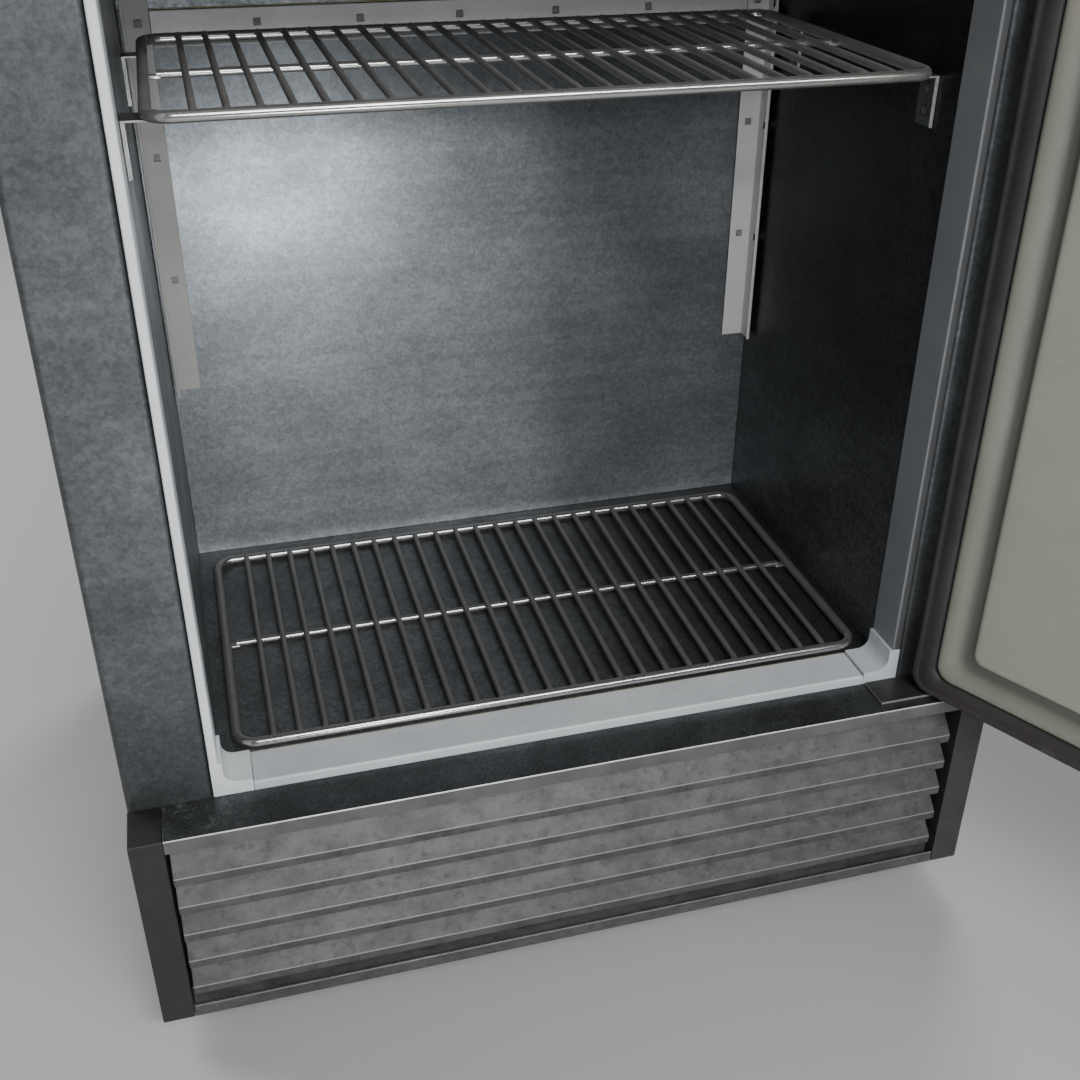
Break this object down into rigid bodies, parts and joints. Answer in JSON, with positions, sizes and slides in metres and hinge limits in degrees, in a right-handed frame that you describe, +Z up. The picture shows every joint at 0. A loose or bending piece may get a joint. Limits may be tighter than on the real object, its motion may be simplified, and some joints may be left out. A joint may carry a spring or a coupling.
{
  "type": "undercounter refrigerator",
  "caption": "Compact undercounter refrigerator with a hinged insulated door, wire shelves on side clips, a louvred front grille and a cooling unit below the compartment.",
  "frame": {"origin": "centre of the base pan's underside, which the levelling feet hold above the floor", "axes": "+Z up, -Y towards the front where the door opens, +X to the right seen from the front, the hinge side"},
  "size_m": [0.9778, 1.0937, 0.876],
  "materials": {
    "galvanised_shell": "mottled galvanised sheet",
    "galvanised_lining": "mottled galvanised sheet",
    "stainless_top": "brushed",
    "stainless_door": "brushed",
    "insulation": "foam",
    "pale_trim": "satin",
    "aluminium_rail": "satin",
    "aluminium_fins": "matte",
    "shelf_wire": "coated wire",
    "grille_metal": "satin",
    "dark_deck": "semi-gloss",
    "black_steel": "semi-gloss",
    "black_plastic": "matte",
    "copper_line": "satin copper",
    "plated_foot": "zinc plated",
    "plated_hinge": "zinc plated",
    "cream_liner": "satin",
    "dark_gasket": "matte"
  },
  "bodies": {
    "cabinet": {"base_pan": "galvanised_shell", "side_panel_left": "galvanised_shell", "side_panel_right": "galvanised_shell", "back_panel": "galvanised_shell", "top_panel": "stainless_top", "cabinet_foam": "insulation", "interior_left": "galvanised_lining", "interior_right": "galvanised_lining", "interior_back": "galvanised_lining", "interior_floor": "galvanised_lining", "interior_ceiling": "galvanised_lining", "breaker_left": "pale_trim", "breaker_right": "pale_trim", "breaker_top": "pale_trim", "breaker_bottom": "pale_trim", "breaker_corner_left": "pale_trim", "breaker_corner_right": "pale_trim", "pilaster_left": "aluminium_rail", "pilaster_right": "aluminium_rail", "rear_rail": "aluminium_rail", "evaporator_cover": "galvanised_lining", "evaporator_coil": "aluminium_fins", "evaporator_fan_motor": "black_steel", "thermostat_body": "black_plastic", "shelf_clip_left_front": "aluminium_rail", "shelf_clip_left_rear": "aluminium_rail", "shelf_clip_right_front": "aluminium_rail", "shelf_clip_right_rear": "aluminium_rail", "grille_post_left": "grille_metal", "grille_post_right": "grille_metal", "grille_top_rail": "dark_deck", "grille_bottom_rail": "grille_metal", "louvre_1": "grille_metal", "louvre_2": "grille_metal", "louvre_3": "grille_metal", "louvre_4": "grille_metal", "louvre_5": "grille_metal", "compressor": "black_steel", "condenser_coil": "aluminium_fins", "condenser_fan_shroud": "galvanised_shell", "condenser_fan_motor": "black_steel", "condensate_pan": "black_plastic", "power_inlet_box": "black_plastic", "refrigerant_line": "copper_line", "hinge_bracket_bottom": "plated_hinge", "hinge_bracket_top": "plated_hinge"},
    "door": {"door_pan": "stainless_door", "door_foam": "insulation", "door_liner": "cream_liner", "door_gasket": "dark_gasket", "door_handle": "aluminium_rail"},
    "shelf_low": {"shelf_lower": "shelf_wire"},
    "shelf_high": {"shelf_upper": "shelf_wire"},
    "evaporator_fan": {"evaporator_fan_blade": "black_plastic"},
    "condenser_fan": {"condenser_fan_blade": "black_plastic"},
    "thermostat_dial": {"thermostat_knob": "black_plastic"},
    "foot_fl": {"foot_front_left": "plated_foot"},
    "foot_fr": {"foot_front_right": "plated_foot"},
    "foot_rl": {"foot_rear_left": "plated_foot"},
    "foot_rr": {"foot_rear_right": "plated_foot"}
  },
  "joints": [
    {"name": "door_hinge", "type": "hinge", "parent": "cabinet", "child": "door", "pos_m": [0.3047, -0.2584, 0.19], "axis": [0, 0, 1], "range_deg": [-117.5, 10]},
    {"name": "shelf_lower_lift", "type": "slide", "parent": "cabinet", "child": "shelf_low", "axis": [0, 0, 1], "range_m": [0, 0.12]},
    {"name": "shelf_upper_slide", "type": "slide", "parent": "cabinet", "child": "shelf_high", "axis": [0, -1, 0], "range_m": [0, 0.25]},
    {"name": "evaporator_fan_spin", "type": "hinge", "parent": "cabinet", "child": "evaporator_fan", "pos_m": [0, 0.132, 0.742], "axis": [0, 1, 0], "continuous": true},
    {"name": "condenser_fan_spin", "type": "hinge", "parent": "cabinet", "child": "condenser_fan", "pos_m": [-0.02, -0.1515, 0.074], "axis": [0, 1, 0], "continuous": true},
    {"name": "thermostat_turn", "type": "hinge", "parent": "cabinet", "child": "thermostat_dial", "pos_m": [0.15, 0.0882, 0.745], "axis": [0, -1, 0], "range_deg": [-135, 135]},
    {"name": "foot_front_left_level", "type": "slide", "parent": "cabinet", "child": "foot_fl", "axis": [0, 0, -1], "range_m": [-0.004, 0.012]},
    {"name": "foot_front_right_level", "type": "slide", "parent": "cabinet", "child": "foot_fr", "axis": [0, 0, -1], "range_m": [-0.004, 0.012]},
    {"name": "foot_rear_left_level", "type": "slide", "parent": "cabinet", "child": "foot_rl", "axis": [0, 0, -1], "range_m": [-0.004, 0.012]},
    {"name": "foot_rear_right_level", "type": "slide", "parent": "cabinet", "child": "foot_rr", "axis": [0, 0, -1], "range_m": [-0.004, 0.012]}
  ]
}
